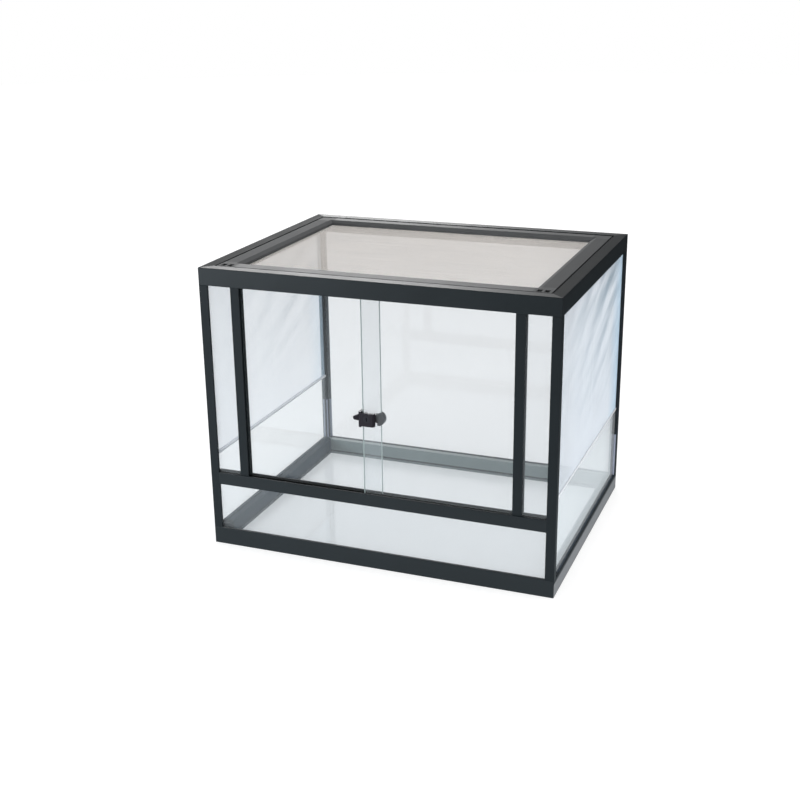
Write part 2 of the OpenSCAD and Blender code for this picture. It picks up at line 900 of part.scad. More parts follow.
module lock_plug() {
    color("#8e9294") translate([plug_x, -lock_out - half_d, lock_z + plug_up])
        rotate([-90, 0, 0]) difference() {
            cylinder(r = plug_r, h = plug_l, $fn = 48);
            translate([-keyway_w / 2, -plug_r * 0.6, -cut])
                cube([keyway_w, plug_r * 1.2, keyway_l + cut]);
        }
}

base_front_rail();
base_back_rail();
base_left_rail();
base_right_rail();
base_corner_keys();
base_left_skirt();
base_right_skirt();
post_front_left();
post_front_right();
post_back_left();
post_back_right();
mid_rail();
lower_track();
upper_track();
mullion_left();
mullion_right();
floor_pane();
back_pane();
front_low_pane();
front_left_pane();
front_right_pane();
side_left_pane();
side_right_pane();
side_left_joint();
side_right_joint();
side_left_screen();
side_right_screen();
top_front_rail();
top_back_rail();
top_left_rail();
top_right_rail();
top_corner_keys();
lid_front_bar();
lid_back_bar();
lid_left_bar();
lid_right_bar();
lid_front_corners();
lid_back_corners();
lid_pivot_pins();
lid_screen();
lid_spline();
lid_latch_left();
lid_latch_right();
door_left();
door_right();
lock_strip();
lock_housing();
lock_plug();
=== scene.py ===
import json
import math
from collections import namedtuple

import bmesh
import bpy
from bpy.props import FloatProperty, FloatVectorProperty, PointerProperty
from mathutils import Matrix, Vector


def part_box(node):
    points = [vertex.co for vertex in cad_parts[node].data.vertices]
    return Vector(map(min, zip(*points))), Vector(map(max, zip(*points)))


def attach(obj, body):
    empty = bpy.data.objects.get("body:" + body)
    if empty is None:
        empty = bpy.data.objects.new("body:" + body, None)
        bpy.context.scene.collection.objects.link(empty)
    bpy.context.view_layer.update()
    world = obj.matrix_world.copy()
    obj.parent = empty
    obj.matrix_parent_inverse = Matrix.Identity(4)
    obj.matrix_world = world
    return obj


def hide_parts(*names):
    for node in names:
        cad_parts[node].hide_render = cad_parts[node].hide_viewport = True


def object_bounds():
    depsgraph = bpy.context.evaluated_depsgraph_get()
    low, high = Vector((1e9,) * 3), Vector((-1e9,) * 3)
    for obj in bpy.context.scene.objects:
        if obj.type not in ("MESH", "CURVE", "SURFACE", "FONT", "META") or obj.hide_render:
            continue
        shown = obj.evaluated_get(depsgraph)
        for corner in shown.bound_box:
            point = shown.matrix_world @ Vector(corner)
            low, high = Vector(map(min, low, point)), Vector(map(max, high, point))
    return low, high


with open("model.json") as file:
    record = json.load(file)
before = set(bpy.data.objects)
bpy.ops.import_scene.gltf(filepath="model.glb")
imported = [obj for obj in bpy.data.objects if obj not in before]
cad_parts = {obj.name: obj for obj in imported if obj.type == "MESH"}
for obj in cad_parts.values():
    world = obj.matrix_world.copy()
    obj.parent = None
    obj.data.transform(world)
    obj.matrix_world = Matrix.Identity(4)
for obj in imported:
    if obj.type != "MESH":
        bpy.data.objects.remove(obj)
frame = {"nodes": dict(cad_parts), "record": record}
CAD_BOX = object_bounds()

bl_info = {
    "name": "Screened Glass Terrarium",
    "version": (1, 0, 0),
    "blender": (4, 5, 0),
    "location": "View3D > Sidebar > Terrarium",
    "description": "Finishes, glass, woven screens and studio for a front-opening terrarium",
    "category": "Object",
}

MM = 0.001

# Nodes of the frame by the direction in which each profile runs
PROFILES = {
    "x": ("base_front_rail", "base_back_rail", "mid_rail", "top_front_rail", "top_back_rail"),
    "y": ("base_left_rail", "base_right_rail", "top_left_rail", "top_right_rail"),
    "z": ("post_front_left", "post_front_right", "post_back_left", "post_back_right",
          "mullion_left", "mullion_right"),
}
LID_BARS = {"x": ("lid_front_bar", "lid_back_bar"), "y": ("lid_left_bar", "lid_right_bar")}
SKIRTS = ("base_left_skirt", "base_right_skirt")
JOINT_STRIPS = ("side_left_joint", "side_right_joint")
MOULDINGS = ("lower_track", "upper_track", "base_corner_keys", "top_corner_keys",
             "lid_latch_left", "lid_latch_right")
LID_CORNERS = ("lid_front_corners", "lid_back_corners")
FIXED_PANES = ("floor_pane", "back_pane", "front_low_pane", "front_left_pane",
               "front_right_pane", "side_left_pane", "side_right_pane")
DOORS = ("door_left", "door_right")

# Roughness and specular level of the coatings, by the direction of the profile
PROFILE_GLOSS = {"x": (0.42, 0.32), "y": (0.62, 0.2), "z": (0.6, 0.22)}
LID_GLOSS = {"x": (0.48, 0.26), "y": (0.6, 0.09)}

# Painted reflection: low inner faces painted paler, where reflected light would fall: their shade,
# how high up and how far forward they reach, and how far they stay inside the frame's sides and
# back
PaintedReflection = namedtuple("PaintedReflection", "shade top front side_inset back_inset")
PAINTED_REFLECTION = {
    "x": PaintedReflection((0.21, 0.25, 0.25), 0.05, 0.1, 9.5 * MM, 9.5 * MM),
    "y": PaintedReflection((0.035, 0.05, 0.068), 0.05, -0.2, 1.5 * MM, 9.5 * MM),
    "z": PaintedReflection((0.34, 0.37, 0.46), 0.111, 0.1, 1.5 * MM, 0.5 * MM),
}
PAINTED_REFLECTION_EDGE = 0.25 * MM

# Noise scales along X, Y and Z: die lines, and the heavier threads of the screens
DIE_LINES = {"x": (3, 900, 900), "y": (900, 3, 900), "z": (900, 900, 3)}
SIDE_THREADS = (0, 260, 5)
LID_THREADS = (5, 120, 0)

# Heights between which the painted shade in the side screens' creases comes in, and the depths
# between which their back edge turns bluish
CREASE_SHADE_HEIGHTS = (200 * MM, 422.2 * MM)
BLUISH_BACK_EDGE = (150 * MM, 221.4 * MM)

# Wires of a screen: points along each, sides of its section, and the margin held flat
WIRE_POINTS = 15
WIRE_SIDES = 5
HELD_MARGIN = 40 * MM

# Share of dust on the panes and on the cleaner doors; where the glass is seen flat it grows into a
# painted reflection
PANE_DUST_AND_SHEEN = 0.028
DOOR_DUST_AND_SHEEN = 0.012

# Studio: strength of the world's light, and the floor's own glow, its radius and its drop
AMBIENT = 0.95
FLOOR_GLOW = 0.60
FLOOR_RADIUS = 9.0
FLOOR_DROP = 0.3 * MM

# Reflections show a floor that starts at FLOOR_REACH and darkens by 1 for each metre away
# and by FLOOR_LEAN for each metre to the right, and a world that darkens round a direction
FLOOR_REACH = 1.45
FLOOR_LEAN = 0.5
FLOOR_PALEST = 0.85
DARKEST = 0.08
BACKDROP_TOWARDS = (-0.34, 0.88, 0.35)
BACKDROP_FALL = 18.0

# How many clear faces one line of sight may pass
CLEAR_FACES = 24

# Camera: place, sensor and lens in millimetres, and its turns in degrees
CAMERA_PLACE = (0.7152, -1.9430, 0.9510)
CAMERA_SENSOR = 36.0
CAMERA_LENS = 56.29
CAMERA_AZIMUTH, CAMERA_ELEVATION, CAMERA_ROLL = 21.37, 19.49, -0.71


# ---------- sizes and colours that a user may change ----------

def length(name, description, millimetres, low, high):
    """A length property whose default and limits are given in millimetres."""
    return FloatProperty(name=name, description=description, default=millimetres * MM,
                         min=low * MM, max=high * MM, unit="LENGTH", precision=4)


def colour(name, description, red, green, blue):
    """A linear colour property."""
    return FloatVectorProperty(name=name, description=description, subtype="COLOR", size=3,
                               default=(red, green, blue), min=0.0, max=1.0)


class TerrariumSizes(bpy.types.PropertyGroup):
    side_pitch: length("Side Screen Pitch", "Spacing of the side screens' wires", 1.6, 1, 5)
    side_wire: length("Side Screen Wire", "Thickness of the side screens' wires", 0.33, 0.1, 0.6)
    side_ripple: length("Side Screen Ripple", "How far the side screens wave", 1.2, 0, 1.5)
    lid_pitch: length("Lid Screen Pitch", "Spacing of the lid screen's wires", 1.8, 1, 5)
    lid_wire: length("Lid Screen Wire", "Thickness of the lid screen's wires", 0.32, 0.1, 0.6)
    lid_ripple: length("Lid Screen Ripple", "How far the lid screen waves", 0.3, 0, 1.5)
    plug_edge: length("Plug Edge", "Rounding of the rail plugs' edges", 0.3, 0.1, 0.5)
    plug_gap: length("Plug Gap", "Clearance between a rail plug and its neighbours", 0.2, 0.1, 0.5)
    arris: length("Glass Arris", "Width of the ground chamfer on the glass edges", 0.4, 0.1, 1)


class TerrariumColours(bpy.types.PropertyGroup):
    coating: colour("Coating", "Dark satin coating of the frame", 0.0120, 0.0168, 0.0200)
    lid: colour("Lid", "Dull dark grey coating of the lid bars", 0.080, 0.083, 0.086)
    skirt: colour("Skirt", "Grey strips on the side base rails", 0.17, 0.175, 0.185)
    strip: colour("Joint Strip", "Thin strips between side glass and screen", 0.72, 0.74, 0.78)
    moulding: colour("Moulding", "Black plastic tracks and latches", 0.006, 0.007, 0.007)
    spline: colour("Spline", "Black rubber that holds the lid screen", 0.01, 0.01, 0.01)
    pin: colour("Pin", "Ground steel of the lid's pivot pins", 0.55, 0.56, 0.57)
    lock: colour("Lock", "Black lock housing and strip", 0.014, 0.011, 0.017)
    plug: colour("Plug", "Dark metal key plug", 0.06, 0.058, 0.066)
    side_wire: colour("Side Wire", "Pale wires of the side screens", 0.82, 0.87, 0.95)
    # Painted shade: a darker tint of this colour is painted into the side screens' creases; their
    # back edge takes the colour itself
    crease_shade_and_edge: colour("Crease", "Bluish creases and back edge of the side screens",
                   0.55, 0.72, 0.86)
    lid_wire: colour("Lid Wire", "Warm grey wires of the lid screen", 0.88, 0.83, 0.785)
    glass: colour("Glass", "Tint of light that passes one face of a pane", 0.961, 0.968, 0.973)
    door_glass: colour("Door Glass", "The same for the two cleaner doors", 0.980, 0.985, 0.988)
    # Painted shade: the back pane is tinted greyer than the others, which darkens what shows
    # through it
    back_glass: colour("Back Glass", "The same for the slightly greyer back pane",
                       0.905, 0.910, 0.916)
    # Dust on the glass, which where the glass is seen flat also serves as a painted reflection
    dust_and_sheen: colour("Dust", "Thin dust on the glass", 0.83, 0.88, 0.92)
    glass_edge: colour("Glass Edge", "Pale green of the doors' ground edges", 0.44, 0.53, 0.52)
    tape: colour("Glazing Tape", "Dark tape on the fixed panes' edges", 0.012, 0.013, 0.014)
    floor: colour("Floor", "Pale studio floor", 0.55, 0.55, 0.55)
    floor_mirrored: colour("Mirrored Floor", "The floor as reflections show it", 0.87, 0.96, 1.0)
    front_light: colour("Front Light", "Cool light from the front left", 0.86, 0.94, 1.0)


def sizes():
    return bpy.context.scene.terrarium_sizes


def colours():
    return bpy.context.scene.terrarium_colours


# ---------- node trees ----------

class Value:
    """One output socket, with Python arithmetic that adds Math nodes to its tree."""

    def __init__(self, tree, socket):
        self.tree = tree
        self.socket = socket

    def __add__(self, other):
        return self.tree.maths("ADD", self, other)

    def __radd__(self, other):
        return self.tree.maths("ADD", other, self)

    def __sub__(self, other):
        return self.tree.maths("SUBTRACT", self, other)

    def __rsub__(self, other):
        return self.tree.maths("SUBTRACT", other, self)

    def __mul__(self, other):
        return self.tree.maths("MULTIPLY", self, other)

    def __rmul__(self, other):
        return self.tree.maths("MULTIPLY", other, self)

    def __truediv__(self, other):
        return self.tree.maths("DIVIDE", self, other)

    def __rtruediv__(self, other):
        return self.tree.maths("DIVIDE", other, self)

    def __pow__(self, other):
        return self.tree.maths("POWER", self, other)

    def __rpow__(self, other):
        return self.tree.maths("POWER", other, self)

    def __neg__(self):
        return self.tree.maths("MULTIPLY", self, -1.0)

    def __abs__(self):
        return self.tree.maths("ABSOLUTE", self)


class Tree:
    """Adds nodes to one node tree."""

    def __init__(self, tree):
        self.tree = tree
        self.tree.nodes.clear()

    def add(self, kind, settings=None, inputs=None, output=0):
        """A node of this kind, set up first and then fed; gives the output named or numbered.

        A list feeds all its values into one input, and a colour needs no alpha.
        """
        node = self.tree.nodes.new(kind)
        for name, value in (settings or {}).items():
            setattr(node, name, value)
        for key, value in (inputs or {}).items():
            socket = node.inputs[key]
            if isinstance(value, (Value, list)):
                for fed in value if isinstance(value, list) else [value]:
                    self.tree.links.new(fed.socket, socket)
            else:
                socket.default_value = (*value, 1.0) if socket.type == "RGBA" else value
        return Value(self, node.outputs[output]) if node.outputs else None

    def outputs(self, value):
        """Every output of the node that a value comes from."""
        return [Value(self, socket) for socket in value.socket.node.outputs]

    def maths(self, operation, *values):
        return self.add("ShaderNodeMath", {"operation": operation}, dict(enumerate(values)))

    def clamp(self, value, low=0.0, high=1.0):
        return self.add("ShaderNodeClamp", None, {"Value": value, "Min": low, "Max": high})

    def fade(self, value, start, end):
        """0 up to where the value is at start, 1 from where it is at end, even between them."""
        return self.clamp((value - start) * (1.0 / (end - start)))

    def vector(self, x=0.0, y=0.0, z=0.0):
        return self.add("ShaderNodeCombineXYZ", None, {0: x, 1: y, 2: z})

    def split(self, vector):
        """The three numbers of a vector."""
        return self.outputs(self.add("ShaderNodeSeparateXYZ", None, {0: vector}))

    def mix(self, factor, first, second):
        """A colour between two colours, which are the node's inputs 6 and 7 and its output 2."""
        return self.add("ShaderNodeMix", {"data_type": "RGBA"},
                        {"Factor": factor, 6: first, 7: second}, 2)

    def blend(self, factor, first, second):
        """A shader between two shaders."""
        return self.add("ShaderNodeMixShader", None, {0: factor, 1: first, 2: second})

    def place(self, scale=(1, 1, 1)):
        """Object coordinates in metres, scaled."""
        point = self.add("ShaderNodeTexCoord", output="Object")
        return self.add("ShaderNodeMapping", None, {"Vector": point, "Scale": scale})

    def noise(self, vector, scale=1.0, detail=2.0, roughness=0.5):
        return self.add("ShaderNodeTexNoise", None,
                        {"Vector": vector, "Scale": scale, "Detail": detail,
                         "Roughness": roughness})

    def seen(self):
        """1 for what the camera shows, straight on or through clear things, and 0 elsewhere."""
        return self.add("ShaderNodeLightPath", output="Is Camera Ray") \
            + self.add("ShaderNodeLightPath", output="Is Transmission Ray")

    def mirrored(self):
        """1 in reflections, and 0 elsewhere."""
        return self.add("ShaderNodeLightPath", output="Is Glossy Ray")


class Material(Tree):
    """A material under construction."""

    def __init__(self, name):
        self.material = bpy.data.materials.new(name)
        self.material.use_nodes = True
        super().__init__(self.material.node_tree)

    def principled(self, **inputs):
        """A Principled shader; an underscore in an input's name stands for a space."""
        return self.add("ShaderNodeBsdfPrincipled", None,
                        {name.replace("_", " "): value for name, value in inputs.items()})

    def bump(self, height, strength, distance):
        return self.add("ShaderNodeBump", None,
                        {"Height": height, "Strength": strength, "Distance": distance})

    def finish(self, shader):
        self.add("ShaderNodeOutputMaterial", None, {"Surface": shader})
        return self.material


def tint(shade, factor):
    """A colour made lighter or darker."""
    return tuple(min(1.0, channel * factor) for channel in shade)


# ---------- materials ----------

def coated_profile(name, shade, along, roughness, specular=0.35, painted_reflection=None):
    """A drawn profile under a thin satin coating: faint die lines along it, soft mottling.

    A painted reflection, if given, says where low inner faces are painted paler, and in what
    shade.
    """
    mat = Material(name)
    point = mat.place()
    lines = mat.noise(mat.place(DIE_LINES[along]))
    cloud = mat.noise(point, scale=14.0, detail=4.0, roughness=0.6)
    grain = mat.noise(point, scale=2200.0, detail=1.0)
    base = mat.mix(cloud, tint(shade, 0.8), tint(shade, 1.25))
    # Painted reflection: low inner faces get a paler shade that stands in for reflected light
    if painted_reflection:
        right, back, up = mat.split(point)
        side = CAD_BOX[1].x - painted_reflection.side_inset
        rear = CAD_BOX[1].y - painted_reflection.back_inset
        painted_reflection_mask = mat.fade(abs(right), side, side - PAINTED_REFLECTION_EDGE) \
            * mat.fade(back, rear, rear - PAINTED_REFLECTION_EDGE) \
            * mat.fade(back, painted_reflection.front, painted_reflection.front + PAINTED_REFLECTION_EDGE) \
            * mat.fade(up, painted_reflection.top, painted_reflection.top - PAINTED_REFLECTION_EDGE)
        # The paler shade of the painted reflection, mottled like the coating
        thin = mat.mix(cloud, tint(painted_reflection.shade, 0.85), tint(painted_reflection.shade, 1.15))
        base = mat.mix(painted_reflection_mask, base, thin)
    return mat.finish(mat.principled(
        Base_Color=base,
        Roughness=roughness - 0.06 + 0.12 * cloud,
        Specular_IOR_Level=specular,
        Normal=mat.bump(lines * 0.6 + grain * 0.4, strength=0.12, distance=0.2 * MM)))


def moulded_plastic(name, shade, roughness=0.5, specular=0.4):
    """Moulded plastic with a fine spark-eroded grain."""
    mat = Material(name)
    point = mat.place()
    cloud = mat.noise(point, scale=40.0, detail=3.0)
    grain = mat.noise(point, scale=3000.0)
    return mat.finish(mat.principled(
        Base_Color=mat.mix(cloud, tint(shade, 0.75), tint(shade, 1.3)),
        Roughness=roughness - 0.05 + 0.1 * cloud,
        Specular_IOR_Level=specular,
        Normal=mat.bump(grain, strength=0.15, distance=0.2 * MM)))


def bare_metal(name, shade, roughness=0.3):
    """Turned or drawn metal with fine scratches."""
    mat = Material(name)
    scratch = mat.noise(mat.place((60, 60, 4000)), detail=3.0)
    return mat.finish(mat.principled(
        Base_Color=mat.mix(scratch, tint(shade, 0.85), tint(shade, 1.15)),
        Metallic=1.0,
        Roughness=roughness - 0.05 + 0.1 * scratch,
        Normal=mat.bump(scratch, strength=0.1, distance=0.1 * MM)))


def screen_wire(name, shade, threads, crease_shade_and_edge=None):
    """Coated wire of a woven screen: uneven in tone, with heavier threads.

    A crease colour adds painted shade in slanting soft creases, which starts above the joint strip
    and gets stronger towards the back, and the screen turns to that colour towards its back edge.
    """
    mat = Material(name)
    point = mat.place()
    cloud = mat.noise(point, scale=9.0, detail=3.0, roughness=0.6)
    thread = mat.noise(mat.place(threads))
    knuckle = mat.noise(point, scale=700.0, detail=1.0)
    tone = mat.clamp(0.5 * cloud + 0.9 * thread - 0.2)
    base = mat.mix(tone, tint(shade, 0.86), tint(shade, 1.1))
    # Painted shade: creases painted darker, more so higher up and towards the back; the back edge
    # turns bluish
    if crease_shade_and_edge:
        _, back, up = mat.split(point)
        slant = mat.vector(y=5.0 * back + 1.5 * up, z=30.0 * up - 12.0 * back)
        painted_crease_shade = mat.fade(mat.noise(slant), 0.4, 0.65) * mat.fade(up, *CREASE_SHADE_HEIGHTS)
        strength = mat.clamp(0.55 + 2.5 * back)
        base = mat.mix(painted_crease_shade * strength, base, tint(crease_shade_and_edge, 0.55))
        base = mat.mix(0.85 * mat.fade(back, *BLUISH_BACK_EDGE), base, crease_shade_and_edge)
    return mat.finish(mat.principled(
        Base_Color=base,
        Roughness=0.4 + 0.2 * knuckle,
        Specular_IOR_Level=0.5))


def clear_glass(name, shade, dust_and_sheen_level=PANE_DUST_AND_SHEEN):
    """Thin sheet glass that light passes straight.

    It mirrors more, and shows more of its dust, the flatter it is seen; at flat angles that dust
    is also a painted reflection.
    """
    mat = Material(name)
    facing = mat.add("ShaderNodeLayerWeight", None, {"Blend": 0.5}, "Facing")
    mirror_share = 0.043 + 0.9 * facing ** 5.0
    smear = mat.noise(mat.place((1.0, 1.0, 0.5)), scale=5.0, detail=5.0, roughness=0.65)
    # Dust and painted reflection: the dust's share grows as the glass is seen flatter
    dust_and_sheen_share = mat.clamp((dust_and_sheen_level + 0.018 * smear) / (1.05 - facing) ** 1.2, 0.0, 0.6)
    through = mat.add("ShaderNodeBsdfTransparent", None, {"Color": shade})
    mirror = mat.add("ShaderNodeBsdfGlossy", None, {"Color": (1, 1, 1), "Roughness": 0.012})
    dust_and_sheen = mat.principled(Base_Color=colours().dust_and_sheen, Roughness=0.7)
    return mat.finish(mat.blend(dust_and_sheen_share, mat.blend(mirror_share, through, mirror), dust_and_sheen))


def ground_edge(name, shade):
    """Ground edge of a glass pane, half dull."""
    mat = Material(name)
    speck = mat.noise(mat.place(), scale=1500.0)
    return mat.finish(mat.principled(
        Base_Color=mat.mix(speck, tint(shade, 0.9), tint(shade, 1.1)),
        Roughness=0.25 + 0.2 * speck,
        Normal=mat.bump(speck, strength=0.2, distance=0.1 * MM)))


# ---------- objects and meshes ----------

def add_object(name, data):
    """An object of this data, in the scene."""
    added = bpy.data.objects.new(name, data)
    bpy.context.scene.collection.objects.link(added)
    return added


def piece_from(name, mesh, body, materials, replaces=()):
    """A finished piece: in the scene, riding on its body, with its finish, and with the nodes it
    replaces hidden.
    """
    for mat in materials:
        mesh.materials.append(mat)
    piece = add_object(name, mesh)
    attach(piece, body)
    if replaces:
        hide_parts(*replaces)


def body_of(node):
    """The body that a CAD node belongs to."""
    bodies = frame["record"]["behaviour"]["bodies"]
    return next(body for body, members in bodies.items() if node in members)


def finish_nodes(nodes, mat):
    """Gives CAD nodes a finish, with their own shape kept."""
    for node in nodes:
        for slot in frame["nodes"][node].material_slots:
            slot.material = mat


def block(low, high):
    """A box between two corners, still open to changes."""
    shape = bmesh.new()
    bmesh.ops.create_cube(shape, size=1.0)
    bmesh.ops.scale(shape, vec=high - low, verts=shape.verts)
    bmesh.ops.translate(shape, vec=(low + high) / 2, verts=shape.verts)
    return shape


def round_edges(shape, width):
    bmesh.ops.bevel(shape, geom=shape.edges[:], offset=width, segments=2, profile=0.5,
                    affect="EDGES")


def mesh_from(shape, name):
    """The mesh of a finished shape."""
    mesh = bpy.data.meshes.new(name)
    shape.to_mesh(mesh)
    shape.free()
    return mesh


def pane_mesh(name, low, high, arris):
    """A pane whose ground edges are chamfered; its two large faces use slot 0, the rest slot 1."""
    shape = block(low, high)
    round_edges(shape, arris)
    extent = high - low
    thin = min(range(3), key=lambda axis: extent[axis])
    for face in shape.faces:
        face.material_index = 0 if abs(face.normal[thin]) > 0.999 else 1
    return mesh_from(shape, name)


def plug_mesh(name, low, high, edge):
    """A moulded plug: a block with rounded edges and a shallow sink in its end faces."""
    shape = block(low, high)
    ends = [face for face in shape.faces if abs(face.normal.y) > 0.9]
    bmesh.ops.inset_individual(shape, faces=ends, thickness=edge * 3, depth=-edge)
    round_edges(shape, edge)
    return mesh_from(shape, name)


def wire_screen_group():
    """Two crossed layers of round wires that fill a field, waved a little out of plane.

    It is made once, and all screens share it.
    """
    if "wire_screen" in bpy.data.node_groups:
        return bpy.data.node_groups["wire_screen"]
    group = bpy.data.node_groups.new("wire_screen", "GeometryNodeTree")
    tree = Tree(group)
    for name in ("Width", "Height", "Pitch", "Wire", "Ripple", "Seed"):
        group.interface.new_socket(name, in_out="INPUT", socket_type="NodeSocketFloat")
    group.interface.new_socket("Finish", in_out="INPUT", socket_type="NodeSocketMaterial")
    group.interface.new_socket("Screen", in_out="OUTPUT", socket_type="NodeSocketGeometry")
    given = {value.socket.name: value for value in tree.outputs(tree.add("NodeGroupInput"))}
    width, height, pitch, wire = (given[name] for name in ("Width", "Height", "Pitch", "Wire"))

    def layer(run, across, turned, level):
        """Wires of length run, spaced over across; turned ones run along Y."""
        def at(along, aside, up=0.0):
            return tree.vector(aside, along, up) if turned else tree.vector(along, aside, up)

        count = tree.maths("FLOOR", (across - wire) / pitch) + 1.0
        first = (count - 1.0) * pitch / -2.0
        half = run / 2.0
        line = tree.add("GeometryNodeCurvePrimitiveLine", None,
                        {"Start": at(-half, 0.0, level), "End": at(half, 0.0, level)})
        line = tree.add("GeometryNodeResampleCurve", None, {"Curve": line, "Count": WIRE_POINTS})
        section = tree.add("GeometryNodeCurvePrimitiveCircle", None,
                           {"Resolution": WIRE_SIDES, "Radius": wire / 2.0})
        rod = tree.add("GeometryNodeCurveToMesh", None,
                       {"Curve": line, "Profile Curve": section, "Fill Caps": True})
        points = tree.add("GeometryNodeMeshLine", None,
                          {"Count": count, "Start Location": at(0.0, first),
                           "Offset": at(0.0, pitch)})
        return tree.add("GeometryNodeInstanceOnPoints", None,
                        {"Points": points, "Instance": rod})

    layers = [layer(width, height, False, wire * -0.5), layer(height, width, True, wire * 0.5)]
    joined = tree.add("GeometryNodeJoinGeometry", None, {0: layers})
    solid = tree.add("GeometryNodeRealizeInstances", None, {"Geometry": joined})
    point = tree.add("GeometryNodeInputPosition")
    x, y, _ = tree.split(point)
    free = tree.fade(width / 2.0 - abs(x), 0.0, HELD_MARGIN) \
        * tree.fade(height / 2.0 - abs(y), 0.0, HELD_MARGIN)
    sway = tree.add("ShaderNodeTexNoise", {"noise_dimensions": "4D"},
                    {"Vector": point, "W": given["Seed"], "Scale": 7.0, "Detail": 2.0})
    lift = (sway - 0.5) * 2.0 * given["Ripple"] * free
    waved = tree.add("GeometryNodeSetPosition", None,
                     {"Geometry": solid, "Offset": tree.vector(z=lift)})
    smooth = tree.add("GeometryNodeSetShadeSmooth", None, {"Geometry": waved})
    done = tree.add("GeometryNodeSetMaterial", None,
                    {"Geometry": smooth, "Material": given["Finish"]})
    tree.add("NodeGroupOutput", None, {0: done})
    return group


def mesh_of_group(name, group, inputs):
    """The mesh that a geometry group makes with these named inputs."""
    holder = add_object(name, bpy.data.meshes.new(name))
    modifier = holder.modifiers.new(name, "NODES")
    modifier.node_group = group
    for item in group.interface.items_tree:
        if item.in_out == "INPUT":
            modifier[item.identifier] = inputs[item.name]
    bpy.context.view_layer.update()
    evaluated = holder.evaluated_get(bpy.context.evaluated_depsgraph_get())
    mesh = bpy.data.meshes.new_from_object(evaluated)
    bpy.data.objects.remove(holder)
    mesh.name = name
    return mesh


# ---------- operators ----------

class TERRARIUM_OT_frame(bpy.types.Operator):
    """Finish the rails, posts, uprights, strips and lid bars with their satin coatings"""
    bl_idname = "terrarium.finish_frame"
    bl_label = "Finish Frame"
    bl_options = {"REGISTER", "UNDO"}

    def execute(self, context):
        shade, lid = colours().coating, colours().lid
        for along, nodes in PROFILES.items():
            finish_nodes(nodes, coated_profile("coated_profile_" + along, shade, along,
                                               *PROFILE_GLOSS[along], PAINTED_REFLECTION[along]))
        for along, nodes in LID_BARS.items():
            finish_nodes(nodes, coated_profile("lid_profile_" + along, lid, along,
                                               *LID_GLOSS[along]))
        finish_nodes(LID_CORNERS, moulded_plastic("lid_corner_moulding", lid,
                                                  roughness=0.55, specular=0.15))
        finish_nodes(SKIRTS, coated_profile("grey_skirt", colours().skirt, "y",
                                            roughness=0.5, specular=0.2))
        finish_nodes(JOINT_STRIPS, coated_profile("joint_strip", colours().strip, "y",
                                                  roughness=0.4))
        return {"FINISHED"}


class TERRARIUM_OT_mouldings(bpy.types.Operator):
    """Finish the tracks, corner keys and latches in black plastic, the spline and the pins"""
    bl_idname = "terrarium.finish_mouldings"
    bl_label = "Finish Mouldings"
    bl_options = {"REGISTER", "UNDO"}

    def execute(self, context):
        finish_nodes(MOULDINGS, moulded_plastic("black_moulding", colours().moulding,
                                                roughness=0.6, specular=0.15))
        finish_nodes(("lid_spline",), moulded_plastic("spline_rubber", colours().spline,
                                                      roughness=0.8))
        finish_nodes(("lid_pivot_pins",), bare_metal("ground_pin", colours().pin))
        return {"FINISHED"}


class TERRARIUM_OT_rail_plugs(bpy.types.Operator):
    """Mould the plugs that close the middle rail's hollow ends behind the front posts"""
    bl_idname = "terrarium.mould_rail_plugs"
    bl_label = "Mould Rail Plugs"
    bl_options = {"REGISTER", "UNDO"}

    def execute(self, context):
        rail_low, rail_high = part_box("mid_rail")
        finish = moulded_plastic("rail_plug_moulding", colours().coating)
        gap = sizes().plug_gap
        for side in ("left", "right"):
            post_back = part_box("post_front_" + side)[1].y
            pane_low, pane_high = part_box(f"side_{side}_pane")
            low = Vector((rail_high.x, post_back + gap, rail_low.z))
            high = Vector((pane_low.x - gap, rail_high.y, rail_high.z))
            if side == "left":
                low.x, high.x = pane_high.x + gap, rail_low.x
            mesh = plug_mesh("rail_plug_" + side, low, high, sizes().plug_edge)
            piece_from("rail_plug_" + side, mesh, body_of("mid_rail"), [finish])
        return {"FINISHED"}


class TERRARIUM_OT_lock(bpy.types.Operator):
    """Finish the door lock"""
    bl_idname = "terrarium.finish_lock"
    bl_label = "Finish Lock"
    bl_options = {"REGISTER", "UNDO"}

    def execute(self, context):
        finish_nodes(("lock_housing", "lock_strip"),
                     moulded_plastic("lock_black", colours().lock, roughness=0.3))
        finish_nodes(("lock_plug",), bare_metal("plug_metal", colours().plug, roughness=0.35))
        return {"FINISHED"}


class TERRARIUM_OT_glass(bpy.types.Operator):
    """Make the fixed panes with taped edges and the two sliding doors with ground edges"""
    bl_idname = "terrarium.make_glass"
    bl_label = "Make Glass"
    bl_options = {"REGISTER", "UNDO"}

    def execute(self, context):
        clear = clear_glass("clear_glass", colours().glass)
        # Painted shade: the back pane's greyer tint darkens what shows through it
        grey = clear_glass("grey_glass", colours().back_glass)
        clean = clear_glass("door_glass", colours().door_glass, DOOR_DUST_AND_SHEEN)
        ground = ground_edge("ground_glass_edge", colours().glass_edge)
        taped = moulded_plastic("glazing_tape", colours().tape, roughness=0.7, specular=0.2)
        for nodes, plain, edge in ((FIXED_PANES, clear, taped), (DOORS, clean, ground)):
            for node in nodes:
                glass = grey if node == "back_pane" else plain
                mesh = pane_mesh(node + "_glass", *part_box(node), sizes().arris)
                piece_from(node + "_glass", mesh, body_of(node),
                           [glass, edge], (node,))
        return {"FINISHED"}


